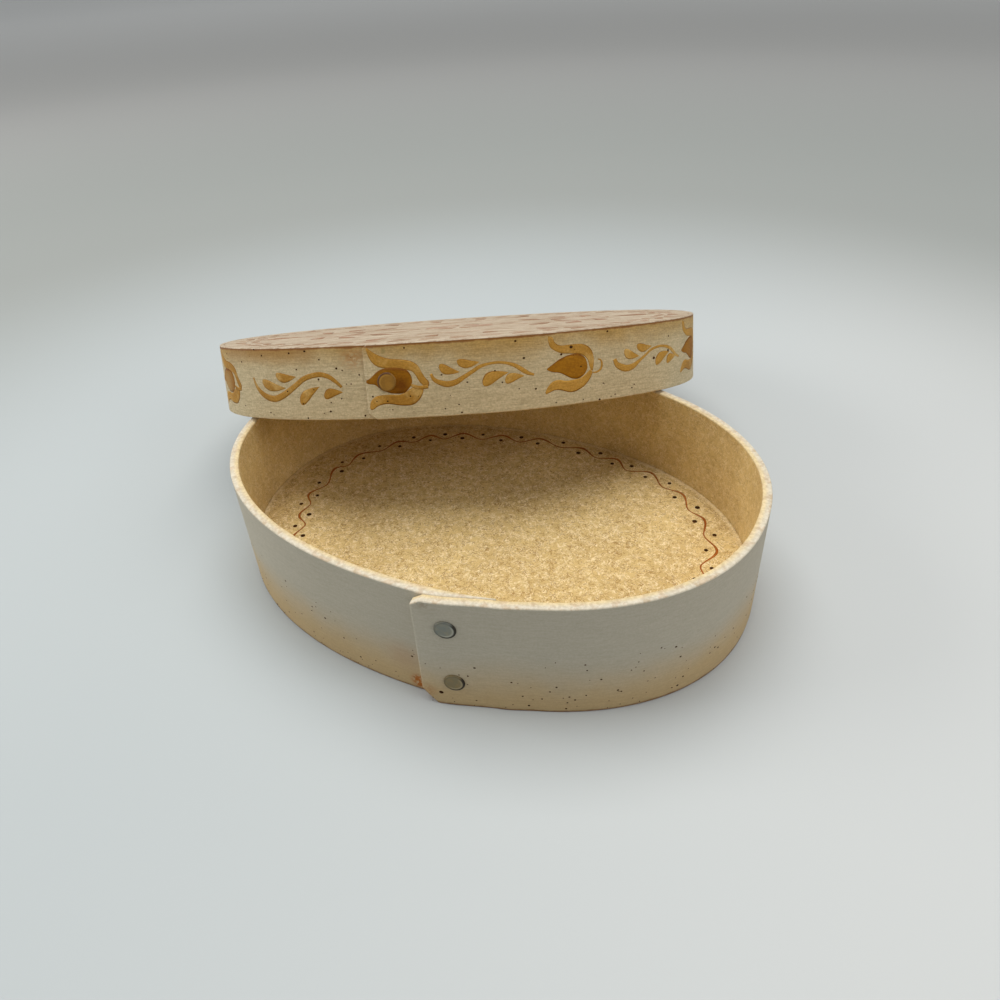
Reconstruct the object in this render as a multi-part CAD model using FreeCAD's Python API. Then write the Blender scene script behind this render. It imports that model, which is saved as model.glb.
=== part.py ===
"""Oval bentwood box with a separate band lid.

Each band is one thin strip bent round an oval, with its outer end lapped over its
thinned inner end and held by rivets. An oval board closes the foot of the box and the
top of the lid. The lid is off: it leans back across the rim of the box, with the back
of its lower edge on the table.

The frame: X runs along the long axis of the oval, Y to the back, Z up. The origin is
the middle of the underside of the bottom board. Lengths are in millimetres.
"""
import FreeCAD
import Part
import bisect
import math
import os

# The oval that the inside of the box follows
inner_length = 200.0
inner_width = 145.0
squareness = 2.17            # 2 is an ellipse, larger is fuller at the corners

# The box
box_height = 47.0
box_wall = 3.4
bottom_thickness = 10.5
box_lap_direction = 280.3    # where the outer end lies, in degrees from +X

# The lid
lid_height = 28.0
lid_wall = 2.0
top_thickness = 4.0
lid_lap_direction = 241.7

# The laps
lap_length = 25.0
tip_thickness = 0.5          # what is left of the inner end at its tip
glue_line = 0.2
lap_run_out = 12.0           # past the tip, where the wall returns to the oval
box_top_clip = (3.3, 2.2)    # corners cut off the outer end, along and up or down
box_bottom_clip = (5.0, 6.0)
lid_top_clip = (1.7, 1.5)
lid_bottom_clip = (3.0, 2.4)

# The rivets
head_radius = 3.6
head_thickness = 0.5
head_edge_round = 0.3
shank_radius = 0.75
tail_radius = 1.05
tail_thickness = 0.6
rivet_bite = 0.9             # how deep head and tail are pressed into the hole's mouth
shank_clearance = 0.05
upper_rivet_setback = 10.2   # from the outer end of the strip
lower_rivet_setback = 11.1
upper_rivet_from_rim = 11.0
tail_above_board = 0.15      # between the lower rivet and the bottom board
lid_rivet_setback = 8.0

# Fits
board_clearance = 0.1        # round each board
lid_clearance = 1.4          # between the wall of the box and the closed lid
lap_clearance = 0.3          # between the lap of the box and the closed lid
lid_room_reach = 45.0        # how far the room for the lap takes to fade out

# How the lid leans
lid_turn = 32.4              # its long axis against that of the box, in degrees
lid_place = (-48.5, 68.7)    # the middle of its open side, seen from above
lean_clearance = 0.3         # between the lid and the rim it leans on
lid_lowest = 0.05            # its lower edge above the table

stations = 170               # points along a strip
fine_steps = 2400            # points where lengths along the oval are measured


def smooth(value):
    """Rises from 0 to 1 with flat ends."""
    value = min(1.0, max(0.0, value))
    return value * value * (3.0 - 2.0 * value)


def oval_point(direction):
    """Point of the oval in a direction given in radians."""
    cosine = math.cos(direction)
    sine = math.sin(direction)
    along = abs(cosine / (inner_length / 2)) ** squareness
    across = abs(sine / (inner_width / 2)) ** squareness
    radius = (along + across) ** (-1.0 / squareness)
    return radius * cosine, radius * sine


def oval_normal(x, y):
    """Outward direction at a point of the oval."""
    half_length = inner_length / 2
    half_width = inner_width / 2
    nx = math.copysign(abs(x / half_length) ** (squareness - 1) / half_length, x)
    ny = math.copysign(abs(y / half_width) ** (squareness - 1) / half_width, y)
    size = math.hypot(nx, ny)
    return nx / size, ny / size


def measure_oval():
    """Distance along the oval at evenly spaced directions."""
    distances = [0.0]
    last = oval_point(0.0)
    for step in range(1, fine_steps + 1):
        here = oval_point(2 * math.pi * step / fine_steps)
        distances.append(distances[-1] + math.dist(last, here))
        last = here
    return distances


oval_distances = measure_oval()
oval_round = oval_distances[-1]


def distance_at(degrees):
    """Distance along the oval, from +X and anticlockwise, of a direction."""
    place = degrees % 360 / 360 * fine_steps
    step = int(place)
    return oval_distances[step] + (place - step) * (oval_distances[step + 1] - oval_distances[step])


def offset_point(distance, offset):
    """Point at a distance along the oval, moved outward by an offset."""
    distance = distance % oval_round
    step = min(bisect.bisect_right(oval_distances, distance), fine_steps) - 1
    share = (distance - oval_distances[step]) / (oval_distances[step + 1] - oval_distances[step])
    x, y = oval_point(2 * math.pi * (step + share) / fine_steps)
    nx, ny = oval_normal(x, y)
    return x + offset * nx, y + offset * ny


class Strip:
    """A band in plan: how far its faces stand outside the oval, all the way along."""

    def __init__(self, inset, wall, height, lap_direction, room=None):
        self.inset = inset
        self.wall = wall
        self.height = height
        self.start = distance_at(lap_direction)
        self.room = room or (lambda distance: 0.0)

    def layer(self, along):
        """How far the outer end stands off at a distance from its edge."""
        tip = tip_thickness + glue_line
        step = self.wall + glue_line
        if along < lap_length:
            return tip + (step - tip) * (1.0 - smooth(along / lap_length))
        return tip * (1.0 - smooth((along - lap_length) / lap_run_out))

    def inner_offset(self, along):
        base = self.inset + self.room(self.start + along)
        if along > oval_round:
            return base
        return base + self.layer(along)

    def outer_offset(self, along):
        if along > oval_round:
            base = self.inset + self.room(self.start + along)
            return base + self.layer(along - oval_round) - glue_line
        return self.inner_offset(along) + self.wall

    def curve(self, offset, clockwise=False):
        """One face of the strip as a curve from its outer end to its inner end."""
        total = oval_round + lap_length
        points = []
        for step in range(stations + 1):
            along = total * step / stations
            points.append(FreeCAD.Vector(*offset_point(self.start + along, offset(along)), 0))
        if clockwise:
            points.reverse()
        line = Part.BSplineCurve()
        line.interpolate(points)
        return line.toShape()

    def band(self):
        """The strip as a solid, before its corners and holes are cut."""
        inner = self.curve(self.inner_offset)
        outer = self.curve(self.outer_offset, clockwise=True)
        inner_end = Part.makeLine(inner.valueAt(inner.LastParameter), outer.valueAt(outer.FirstParameter))
        outer_end = Part.makeLine(outer.valueAt(outer.LastParameter), inner.valueAt(inner.FirstParameter))
        plan = Part.Face(Part.Wire([inner, inner_end, outer, outer_end]))
        return plan.extrude(FreeCAD.Vector(0, 0, self.height))

    def outer_frame(self, along):
        """A point of the outer face with its directions along the strip and outward."""
        here = FreeCAD.Vector(*offset_point(self.start + along, self.outer_offset(along)), 0)
        ahead = along + 0.5
        there = FreeCAD.Vector(*offset_point(self.start + ahead, self.outer_offset(ahead)), 0)
        tangent = (there - here).normalize()
        outward = tangent.cross(FreeCAD.Vector(0, 0, 1))
        return here, tangent, outward

    def corner(self, along, up, height):
        """Wedge that clips a corner of the outer end, up to but not into the layer below."""
        here, tangent, outward = self.outer_frame(0.0)
        reach = self.wall + glue_line / 2
        foot = here - outward * reach + FreeCAD.Vector(0, 0, height)
        rise = FreeCAD.Vector(0, 0, up)
        spare = 1.0
        back = tangent * -spare
        tip_along = tangent * along
        past_edge = FreeCAD.Vector(0, 0, -math.copysign(spare, up))
        outline = [foot + tip_along, foot + tip_along + past_edge, foot + back + past_edge]
        outline += [foot + back + rise * (1 + spare / along)]
        wedge = Part.Face(Part.makePolygon(outline + outline[:1]))
        return wedge.extrude(outward * (reach + spare))

    def clipped(self, band, top, bottom):
        """The band with the corners of its outer end cut off."""
        band = band.cut(self.corner(top[0], -top[1], self.height))
        return band.cut(self.corner(bottom[0], bottom[1], 0.0))

    def rivet(self, band, setback, height):
        """Drill the lap and fit a rivet: gives the drilled band and the rivet."""
        here, tangent, outward = self.outer_frame(setback)
        face = here + FreeCAD.Vector(0, 0, height)
        lap = self.wall + self.layer(setback)
        hole = Part.makeCylinder(shank_radius + shank_clearance, 3 * lap, face + outward * lap, outward * -1)
        band = band.cut(hole)
        head = Part.makeCylinder(head_radius, head_thickness + rivet_bite, face - outward * rivet_bite, outward)
        rim = max(head.Edges, key=lambda edge: edge.CenterOfMass.dot(outward))
        head = head.makeFillet(head_edge_round, [rim])
        shank = Part.makeCylinder(shank_radius, lap, face - outward * lap, outward)
        tail_foot = face - outward * (lap + tail_thickness)
        tail = Part.makeCylinder(tail_radius, tail_thickness + rivet_bite, tail_foot, outward)
        blank = head.fuse(shank).fuse(tail).removeSplitter()
        fitted = blank.cut(band)
        return band, max(fitted.Solids, key=lambda solid: solid.Volume)


def board(offset, thickness, foot):
    """An oval board whose edge follows the oval at an offset."""
    points = []
    for step in range(stations):
        distance = oval_round * step / stations
        points.append(FreeCAD.Vector(*offset_point(distance, offset(distance)), foot))
    edge = Part.BSplineCurve()
    edge.interpolate(Points=points, PeriodicFlag=True)
    return Part.Face(Part.Wire([edge.toShape()])).extrude(FreeCAD.Vector(0, 0, thickness))


box = Strip(0.0, box_wall, box_height, box_lap_direction)


def room_for_lap(distance):
    """Extra width of the lid where the lap of the box comes to lie inside it."""
    depth = box_wall + glue_line + lap_clearance + head_thickness - lid_clearance
    apart = abs((distance - box.start + oval_round / 2) % oval_round - oval_round / 2)
    return max(0.0, depth) * (1.0 - smooth(apart / lid_room_reach))


lid = Strip(box_wall + lid_clearance, lid_wall, lid_height, lid_lap_direction, room_for_lap)


def lid_rotation(tilt, roll):
    """How the lid is turned: about Z, back about its long axis, then sideways."""
    turned = FreeCAD.Rotation(FreeCAD.Vector(0, 0, 1), lid_turn)
    tilted = turned.multiply(FreeCAD.Rotation(FreeCAD.Vector(1, 0, 0), -math.degrees(tilt)))
    return tilted.multiply(FreeCAD.Rotation(FreeCAD.Vector(0, 1, 0), math.degrees(roll)))


def box_ring():
    """Directions and outer radii of the box, for finding what lies over its wall."""
    ring = []
    for step in range(fine_steps):
        along = oval_round * step / fine_steps
        x, y = offset_point(box.start + along, box.outer_offset(along))
        ring.append((math.atan2(y, x) % (2 * math.pi), math.hypot(x, y)))
    ring.sort()
    return [entry[0] for entry in ring], [entry[1] for entry in ring]


def lean_lid():
    """Lean the lid until its lower edge meets the table and the rim on both sides.

    The lid is lowered to the table, tilted by what the two gaps over the rim still
    differ from the clearance, and rolled by what they differ from each other.
    """
    directions, radii = box_ring()
    edge = []
    for step in range(fine_steps):
        along = oval_round * step / fine_steps
        for share in (0.0, 0.5, 1.0):
            offset = lid.inner_offset(along) + share * lid.wall
            edge.append(FreeCAD.Vector(*offset_point(lid.start + along, offset), 0))
    lever = inner_length / 2
    tilt = math.atan2(box_height, 1.2 * lever)
    roll = 0.0
    for attempt in range(40):
        rotation = lid_rotation(tilt, roll)
        turned = [rotation.multVec(point) for point in edge]
        lift = lid_lowest - min(point.z for point in turned)
        gaps = {"left": [], "right": []}
        for point, own in zip(turned, edge):
            x = point.x + lid_place[0]
            y = point.y + lid_place[1]
            direction = math.atan2(y, x) % (2 * math.pi)
            radius = math.hypot(x, y)
            if radius < math.hypot(*oval_point(direction)):
                continue
            nearest = min(bisect.bisect_left(directions, direction), fine_steps - 1)
            if radius > radii[nearest]:
                continue
            gaps["left" if own.x < 0 else "right"].append(point.z + lift - box_height)
        if not gaps["left"] or not gaps["right"]:
            break
        left = min(gaps["left"]) - lean_clearance
        right = min(gaps["right"]) - lean_clearance
        tilt -= 0.5 * (left + right) / 2 / lever
        roll -= 0.5 * (left - right) / (2 * lever)
    print("lid leans", round(math.degrees(tilt), 3), "rolls", round(math.degrees(roll), 3),
          "stands", round(lift, 3), "gaps", round(left, 3), round(right, 3))
    return FreeCAD.Placement(FreeCAD.Vector(*lid_place, lift), lid_rotation(tilt, roll))


def make_box():
    """Band, bottom board and two rivets, standing on the table."""
    band = box.clipped(box.band(), box_top_clip, box_bottom_clip)
    upper_height = box_height - upper_rivet_from_rim
    lower_height = bottom_thickness + tail_radius + tail_above_board
    band, upper = box.rivet(band, upper_rivet_setback, upper_height)
    band, lower = box.rivet(band, lower_rivet_setback, lower_height)
    bottom = board(lambda distance: -board_clearance, bottom_thickness, 0.0)
    return {"box_band": band, "box_bottom": bottom, "box_rivet_upper": upper, "box_rivet_lower": lower}


def make_lid():
    """Band, top board and rivet, made level and then leant against the box."""
    band = lid.clipped(lid.band(), lid_top_clip, lid_bottom_clip)
    band, rivet = lid.rivet(band, lid_rivet_setback, lid_height / 2)
    seat = box_wall + lid_clearance - board_clearance
    top = board(lambda distance: seat + room_for_lap(distance), top_thickness, lid_height - top_thickness)
    pieces = {"lid_band": band, "lid_top": top, "lid_rivet": rivet}
    lean = lean_lid()
    for piece in pieces.values():
        piece.Placement = lean.multiply(piece.Placement)
    return pieces


def main():
    os.makedirs("parts", exist_ok=True)
    pieces = make_box()
    pieces.update(make_lid())
    for node, shape in pieces.items():
        if len(shape.Solids) == 1:
            shape = shape.Solids[0]
        shape.exportStep("parts/" + node + ".step")
        print(node, len(shape.Solids), "solid,", round(shape.Volume), "cubic mm, valid", shape.isValid())


main()
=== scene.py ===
"""Looks of the oval bentwood box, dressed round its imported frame.

The box stands open, with its painted band lid leant back across the rim. Lengths are
in millimetres up to the point where a mesh is made. Places on a band are given as a
distance along the oval, from +X and anticlockwise, and a height above its lower edge.
"""
import math
import random

import bmesh
import bpy
import numpy as np
from mathutils import Matrix, Vector


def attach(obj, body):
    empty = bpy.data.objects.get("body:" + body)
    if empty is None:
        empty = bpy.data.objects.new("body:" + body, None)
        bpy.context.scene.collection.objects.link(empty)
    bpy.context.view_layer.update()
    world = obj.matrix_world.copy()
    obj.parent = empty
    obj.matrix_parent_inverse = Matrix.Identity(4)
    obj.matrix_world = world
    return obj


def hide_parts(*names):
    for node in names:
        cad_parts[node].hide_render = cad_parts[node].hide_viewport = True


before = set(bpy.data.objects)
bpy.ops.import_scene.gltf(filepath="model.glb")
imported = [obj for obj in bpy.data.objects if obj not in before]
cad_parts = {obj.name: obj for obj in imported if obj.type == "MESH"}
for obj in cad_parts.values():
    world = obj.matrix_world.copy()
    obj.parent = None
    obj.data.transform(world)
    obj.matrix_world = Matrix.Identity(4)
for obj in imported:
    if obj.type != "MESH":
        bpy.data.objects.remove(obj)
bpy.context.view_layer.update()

MM = 0.001

# The oval that the inside of the box follows
half_length = 100.0
half_width = 72.5
squareness = 2.17
fine_steps = 2400

# Box and lid, as they are built
box_height = 47.0
box_wall = 3.4
bottom_thickness = 10.5
box_lap_direction = 280.3
lid_height = 28.0
lid_wall = 2.0
top_thickness = 4.0
lid_lap_direction = 241.7
lap_length = 25.0
tip_thickness = 0.5
glue_line = 0.2
seam = 0.02                  # what shows open between the two layers of a lap
lap_run_out = 12.0
lid_feather = (1.2, 6.0)     # how far the outer end of the lid is pared down, and over what length
box_clips = ((3.3, 2.2), (5.0, 6.0))     # top and bottom corner of the outer end, along and up or down
lid_clips = ((1.7, 1.5), (3.0, 2.4))
lid_clearance = 1.4
lap_room = 3.0
lid_room_reach = 45.0
board_clearance = 0.1
lid_face_drop = 0.12         # what the top of the lid keeps free for its paint
box_rounding = (0.5, 0.5, 0.6)   # of the rim, of the foot, and of the outer end of the strip
lid_rounding = (0.4, 0.35, 0.4)
board_corner = 0.15
deep_inside = 30.0           # what the board's map says far from its edge
band_stations = 440          # past the outer end of the strip
board_sides = 360

# The rivets
head_radius = 3.6
head_thickness = 0.5
head_edge_round = 0.3
shank_radius = 0.75
tail_radius = 1.05
tail_thickness = 0.6
upper_rivet = (10.2, 36.0)   # from the outer end of the strip, and above its lower edge
lower_rivet = (11.1, 11.7)
lid_rivet = (8.0, 14.0)

# How the built lid leans: the middle of its open side, and its turns in degrees
lid_place = (-48.5, 68.7, 29.352)
lid_turn = 32.4
lid_tilt = 21.596
lid_roll = 1.197

# Paint
skin_room = 0.10             # what the bands keep free of their built faces, for the paint
first_coat = 0.018
second_coat = 0.035
touch_coat = 0.028           # the last touch on a tulip
paint_root = 0.02            # how deep a stroke reaches under the face that it lies on
speck_rise = 0.05
dot_rise = 0.08


def smooth(value):
    """Rises from 0 to 1 with flat ends."""
    value = np.clip(value, 0.0, 1.0)
    return value * value * (3.0 - 2.0 * value)


def srgb(red, green, blue):
    """A colour given as it shows on a screen, 0 to 255."""
    shown = np.array([red, green, blue]) / 255.0
    linear = np.where(shown <= 0.04045, shown / 12.92, ((shown + 0.055) / 1.055) ** 2.4)
    return (*linear, 1.0)


# Places on the oval

directions = np.linspace(0.0, 2 * math.pi, fine_steps + 1)


def oval_radius(direction):
    along = np.abs(np.cos(direction) / half_length) ** squareness
    across = np.abs(np.sin(direction) / half_width) ** squareness
    return (along + across) ** (-1.0 / squareness)


oval_edge = oval_radius(directions)[:, None] * np.stack([np.cos(directions), np.sin(directions)], 1)
oval_distances = np.concatenate([[0.0], np.cumsum(np.hypot(*np.diff(oval_edge, axis=0).T))])
oval_round = float(oval_distances[-1])


def on_oval(distance, offset):
    """Points at distances along the oval, moved outward by offsets."""
    direction = np.interp(np.mod(distance, oval_round), oval_distances, directions)
    radius = oval_radius(direction)
    x = radius * np.cos(direction)
    y = radius * np.sin(direction)
    nx = np.sign(x) * np.abs(x / half_length) ** (squareness - 1) / half_length
    ny = np.sign(y) * np.abs(y / half_width) ** (squareness - 1) / half_width
    size = np.hypot(nx, ny)
    return np.stack([x + offset * nx / size, y + offset * ny / size], -1)


def distance_at(degrees):
    return float(np.interp(math.radians(degrees), directions, oval_distances))


def no_room(distance):
    return np.zeros_like(np.asarray(distance, float))


def room_for_lap(distance):
    """Extra width of the lid where the lap of the box comes to lie inside it."""
    start = distance_at(box_lap_direction)
    apart = np.abs(np.mod(distance - start + oval_round / 2, oval_round) - oval_round / 2)
    return lap_room * (1.0 - smooth(apart / lid_room_reach))


class Strip:
    """A band in plan: how far its faces stand outside the oval, all the way along."""

    def __init__(self, inset, wall, height, lap_direction, clips, room, feather=(0.0, 1.0)):
        self.inset = inset
        self.wall = wall
        self.height = height
        self.start = distance_at(lap_direction)
        self.top_clip, self.bottom_clip = clips
        self.room = room
        self.feather = feather

    def layer(self, along):
        """How far the outer end stands off at a distance from its edge."""
        tip = tip_thickness + glue_line
        step = self.wall + glue_line
        near = tip + (step - tip) * (1.0 - smooth(along / lap_length))
        far = tip * (1.0 - smooth((along - lap_length) / lap_run_out))
        return np.where(along < lap_length, near, far)

    def inner(self, along):
        base = self.inset + self.room(self.start + along)
        return base + np.where(along > oval_round, 0.0, self.layer(along))

    def outer(self, along):
        base = self.inset + self.room(self.start + along)
        under = base + self.layer(along - oval_round) - seam
        depth, reach = self.feather
        pared = depth * (1.0 - smooth(along / reach))
        return np.where(along > oval_round, under, self.inner(along) + self.wall - pared)

    def face(self, distance, height, lift=0.0):
        """Points on the painted outer face, raised by a lift."""
        along = np.mod(distance - self.start, oval_round)
        flat = on_oval(distance, self.outer(along) - skin_room + lift)
        return np.concatenate([flat, np.broadcast_to(height, along.shape)[..., None]], -1)

    def axes(self, distance, height, lift=0.0):
        """A place on the outer face, with the directions along the band and outward."""
        here, there = self.face(distance + np.array([0.0, 0.5]), height, lift)
        along = (there - here) / np.linalg.norm(there - here)
        return here, along, np.array([along[1], -along[0], 0.0])


box = Strip(0.0, box_wall, box_height, box_lap_direction, box_clips, no_room)
lid = Strip(box_wall + lid_clearance, lid_wall, lid_height, lid_lap_direction, lid_clips, room_for_lap,
            lid_feather)

lean = Matrix.Rotation(math.radians(lid_turn), 4, "Z")
lean = lean @ Matrix.Rotation(math.radians(-lid_tilt), 4, "X")
lean = lean @ Matrix.Rotation(math.radians(lid_roll), 4, "Y")
standing = {"box": Matrix.Identity(4), "lid": Matrix.Translation(Vector(lid_place)) @ lean}


# Meshes

class Shape:
    """Points, faces and the faces' places on a map, which add up to one mesh."""

    def __init__(self):
        self.points = []
        self.faces = []
        self.places = []
        self.finishes = []

    def add(self, points, faces, places):
        first = len(self.points)
        self.points.extend(np.asarray(points, float).reshape(-1, 3).tolist())
        flat = np.asarray(places).reshape(-1, 2).tolist()
        for face in faces:
            self.faces.append([first + corner for corner in face])
            self.places.extend(flat[corner] for corner in face)
            self.finishes.append(0)

    def sheet(self, top, foot, places):
        """A thin closed skin between two grids of points."""
        count, width = top.shape[:2]
        size = count * width
        points = np.concatenate([top.reshape(-1, 3), foot.reshape(-1, 3)])
        corners = np.arange(size).reshape(count, width)
        faces = []
        for i in range(count - 1):
            for j in range(width - 1):
                face = [corners[i, j], corners[i + 1, j], corners[i + 1, j + 1], corners[i, j + 1]]
                faces.append(face)
                faces.append([size + corner for corner in reversed(face)])
        border = [*corners[:, 0], *corners[-1, 1:], *corners[-2::-1, -1], *corners[0, -2:0:-1]]
        for here, there in zip(border, border[1:] + border[:1]):
            faces.append([there, here, size + here, size + there])
        self.add(points, faces, np.concatenate([places.reshape(-1, 2)] * 2))

    def make(self, name, body, slot, finishes, stands_for=()):
        """Turn the shape into a piece that stands in its place and rides on a body.

        The places in the piece's own frame are kept for the finishes, which follow them.
        """
        mesh = bpy.data.meshes.new(name)
        mesh.from_pydata([standing[body] @ Vector(point) * MM for point in self.points], [], self.faces)
        own = mesh.attributes.new("own_place", "FLOAT_VECTOR", "POINT")
        own.data.foreach_set("vector", (np.array(self.points) * MM).ravel())
        layer = mesh.uv_layers.new(name="brush")
        layer.uv.foreach_set("vector", np.array(self.places, np.float32).ravel())
        for finish in finishes:
            mesh.materials.append(finish)
        mesh.polygons.foreach_set("material_index", self.finishes)
        mesh.polygons.foreach_set("use_smooth", [True] * len(self.faces))
        tidy = bmesh.new()
        tidy.from_mesh(mesh)
        bmesh.ops.recalc_face_normals(tidy, faces=tidy.faces)
        tidy.to_mesh(mesh)
        tidy.free()
        piece = bpy.data.objects.new(name, mesh)
        bpy.context.scene.collection.objects.link(piece)
        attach(piece, body)
        if stands_for:
            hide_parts(*stands_for)


def through(points, count):
    """Evenly spaced points along a smooth curve through the given ones."""
    points = np.asarray(points, float)
    held = np.vstack([2 * points[0] - points[1], points, 2 * points[-1] - points[-2]])
    share = np.linspace(0.0, 1.0, 16, endpoint=False)[:, None]
    runs = []
    for a, b, c, d in zip(held, held[1:], held[2:], held[3:]):
        runs.append(0.5 * (2 * b + (c - a) * share + (2 * a - 5 * b + 4 * c - d) * share**2
                           + (3 * b - a - 3 * c + d) * share**3))
    line = np.vstack(runs + [points[-1:]])
    length = np.concatenate([[0.0], np.cumsum(np.hypot(*np.diff(line, axis=0).T))])
    even = np.linspace(0.0, length[-1], count)
    return np.stack([np.interp(even, length, line[:, 0]), np.interp(even, length, line[:, 1])], 1)


def unsteady(rng, count, size):
    """The small wander of a hand-held brush, along a line of points."""
    share = np.linspace(0.0, 1.0, count)
    waves = 0.0
    for turns in (1.5, 3.5, 6.5):
        waves = waves + np.sin(2 * math.pi * (turns * share + rng.random())) / turns
    return size * waves


def widened(line, widths, rng, wander=0.06):
    """The two edges of a brush stroke along a line of points."""
    count = len(line)
    share = np.linspace(0.0, 1.0, count)
    knots = np.linspace(0.0, 1.0, len(widths))
    width = np.interp(share, knots, widths)
    kernel = np.ones(5) / 5
    width = np.convolve(np.pad(width, 2, mode="edge"), kernel, mode="valid")
    ahead = np.gradient(line, axis=0)
    ahead /= np.hypot(*ahead.T)[:, None]
    across = np.stack([-ahead[:, 1], ahead[:, 0]], 1)
    upper = line + across * (width / 2 + unsteady(rng, count, wander))[:, None]
    lower = line - across * (width / 2 + unsteady(rng, count, wander))[:, None]
    return upper, lower


def level_face(height):
    """A level face, which gives raised points as the face of a band does."""
    return lambda x, y, lift: np.stack([x, y, np.full_like(x, height + lift)], -1)


def lay(shape, face, edges, coat=first_coat, rows=5):
    """Lay a stroke on a face: a thin skin that fills the space between two edges."""
    upper, lower = edges
    share = np.linspace(0.0, 1.0, rows + 1)
    grid = upper[:, None, :] * (1 - share)[None, :, None] + lower[:, None, :] * share[None, :, None]
    along = np.linspace(0.0, 1.0, len(upper))
    places = np.stack(np.meshgrid(along, share, indexing="ij"), -1)
    top, foot = (face(grid[..., 0], grid[..., 1], lift) for lift in (coat, -paint_root))
    shape.sheet(top, foot, places)


def ring_faces(rings, sides, first=0):
    """Faces between rings of points that lie one after another."""
    faces = []
    for low in range(first, first + (rings - 1) * sides, sides):
        for side in range(sides):
            after = (side + 1) % sides
            faces.append([low + side, low + after, low + sides + after, low + sides + side])
    return faces


def fan(tip, first, sides):
    """Faces between a ring of points and one more."""
    return [[first + side, first + (side + 1) % sides, tip] for side in range(sides)]


def unchanged(radius, rise, turn):
    return radius, rise


def add_turned(shape, middle, along, up, outward, section, sides, form=unchanged):
    """A turned body on a face. Its section gives radii and heights, from axis to axis.

    A form may change them round the ring. The map tells where a place lies from the
    axis, along and up.
    """
    middle, along, up, outward = (np.asarray(part, float) for part in (middle, along, up, outward))
    turn = np.arange(sides) * 2 * math.pi / sides
    round_map = np.stack([np.cos(turn), np.sin(turn)], 1)
    ring = round_map @ np.stack([along, up])
    points = [middle + section[0][1] * outward]
    maps = [(0.0, 0.0)]
    for radius, rise in section[1:-1]:
        reach, height = (np.full(sides, value)[:, None] for value in form(radius, rise, turn))
        points.extend(middle + reach * ring + height * outward)
        maps.extend(radius * round_map)
    points.append(middle + section[-1][1] * outward)
    maps.append((0.0, 0.0))
    rings = len(section) - 2
    last = len(points) - 1
    faces = fan(0, 1, sides) + ring_faces(rings, sides, 1) + fan(last, last - sides, sides)
    shape.add(points, faces, maps)


def paint_dot(shape, middle, along, up, outward, radius, rise, sides=12):
    """A small raised drop of paint on a surface."""
    section = [(0.0, -paint_root), (radius, -paint_root), (0.92 * radius, 0.6 * rise),
               (0.6 * radius, 0.92 * rise), (0.0, rise)]
    add_turned(shape, middle, along, up, outward, section, sides)


# Finishes

class Field:
    """What a shader node gives: a number, a colour or a place."""

    def __init__(self, socket):
        self.socket = socket
        self.tree = socket.id_data

    def math(self, operation, other=0.0):
        return node(self.tree, "Math", {0: self, 1: other}, operation=operation)

    def __add__(self, other):
        return self.math("ADD", other)

    def __sub__(self, other):
        return self.math("SUBTRACT", other)

    def __mul__(self, other):
        return self.math("MULTIPLY", other)

    def __abs__(self):
        return self.math("ABSOLUTE")

    def step(self, low, high):
        """Goes smoothly from 0 at low to 1 at high."""
        inputs = {"Value": self, "From Min": low, "From Max": high}
        return node(self.tree, "MapRange", inputs, interpolation_type="SMOOTHSTEP")

    def mix(self, first, second):
        """The first colour where this is 0, and the second where it is 1."""
        return mixed(self.tree, self, first, second, "MIX")

    def tinted(self, pattern, dark, light):
        """This colour, made darker and lighter by a pattern."""
        return mixed(self.tree, 1.0, self, pattern.mix((*dark, 1.0), (*light, 1.0)), "MULTIPLY")

    def part(self, axis):
        """How far this place lies along X, Y or Z."""
        return node(self.tree, "SeparateXYZ", {0: self}, axis)

    def measure(self, operation, other=(0.0, 0.0, 0.0)):
        """A number worked out from this place and another."""
        return node(self.tree, "VectorMath", {0: self, 1: other}, "Value", operation=operation)

    def stretched(self, stretch):
        return node(self.tree, "Mapping", {"Vector": self, "Scale": stretch})

    def noise(self, scale, detail=3.0, roughness=0.5, distortion=0.0, output=0):
        """A pattern that follows this place."""
        inputs = {"Vector": self, "Scale": scale, "Detail": detail}
        inputs.update({"Roughness": roughness, "Distortion": distortion})
        return node(self.tree, "TexNoise", inputs, output)

    def near(self, spot, reach, core=0.0):
        """1 up to a core round a spot, all in millimetres, and 0 at a reach from it."""
        spot = [value * MM for value in spot]
        return self.measure("DISTANCE", spot).step(reach * MM, core * MM)


def node(tree, kind, inputs=None, output=0, **settings):
    """What a new shader node gives. Its inputs are values, or what other nodes give."""
    made = tree.nodes.new("ShaderNode" + kind)
    for name, value in settings.items():
        setattr(made, name, value)
    for name, value in (inputs or {}).items():
        if isinstance(value, Field):
            tree.links.new(value.socket, made.inputs[name])
        else:
            made.inputs[name].default_value = value
    return Field(made.outputs[output])


def mixed(tree, share, first, second, blend):
    inputs = {0: share, 6: first, 7: second}
    return node(tree, "Mix", inputs, 2, data_type="RGBA", blend_type=blend)


def between_colours(first, second, share):
    return tuple((1.0 - share) * a + share * b for a, b in zip(first, second))


def own_place(tree):
    """Places in the piece's own frame, in metres."""
    return node(tree, "Attribute", output="Vector", attribute_name="own_place")


def brush_place(tree):
    """Places on the piece's map."""
    return node(tree, "UVMap", uv_map="brush")


def finish(name, roughness, specular, metallic=0.0):
    """A new material and its node tree."""
    material = bpy.data.materials.new(name)
    material.use_nodes = True
    shader = material.node_tree.nodes["Principled BSDF"]
    shader.inputs["Roughness"].default_value = roughness
    shader.inputs["Specular IOR Level"].default_value = specular
    shader.inputs["Metallic"].default_value = metallic
    return material, material.node_tree


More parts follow.
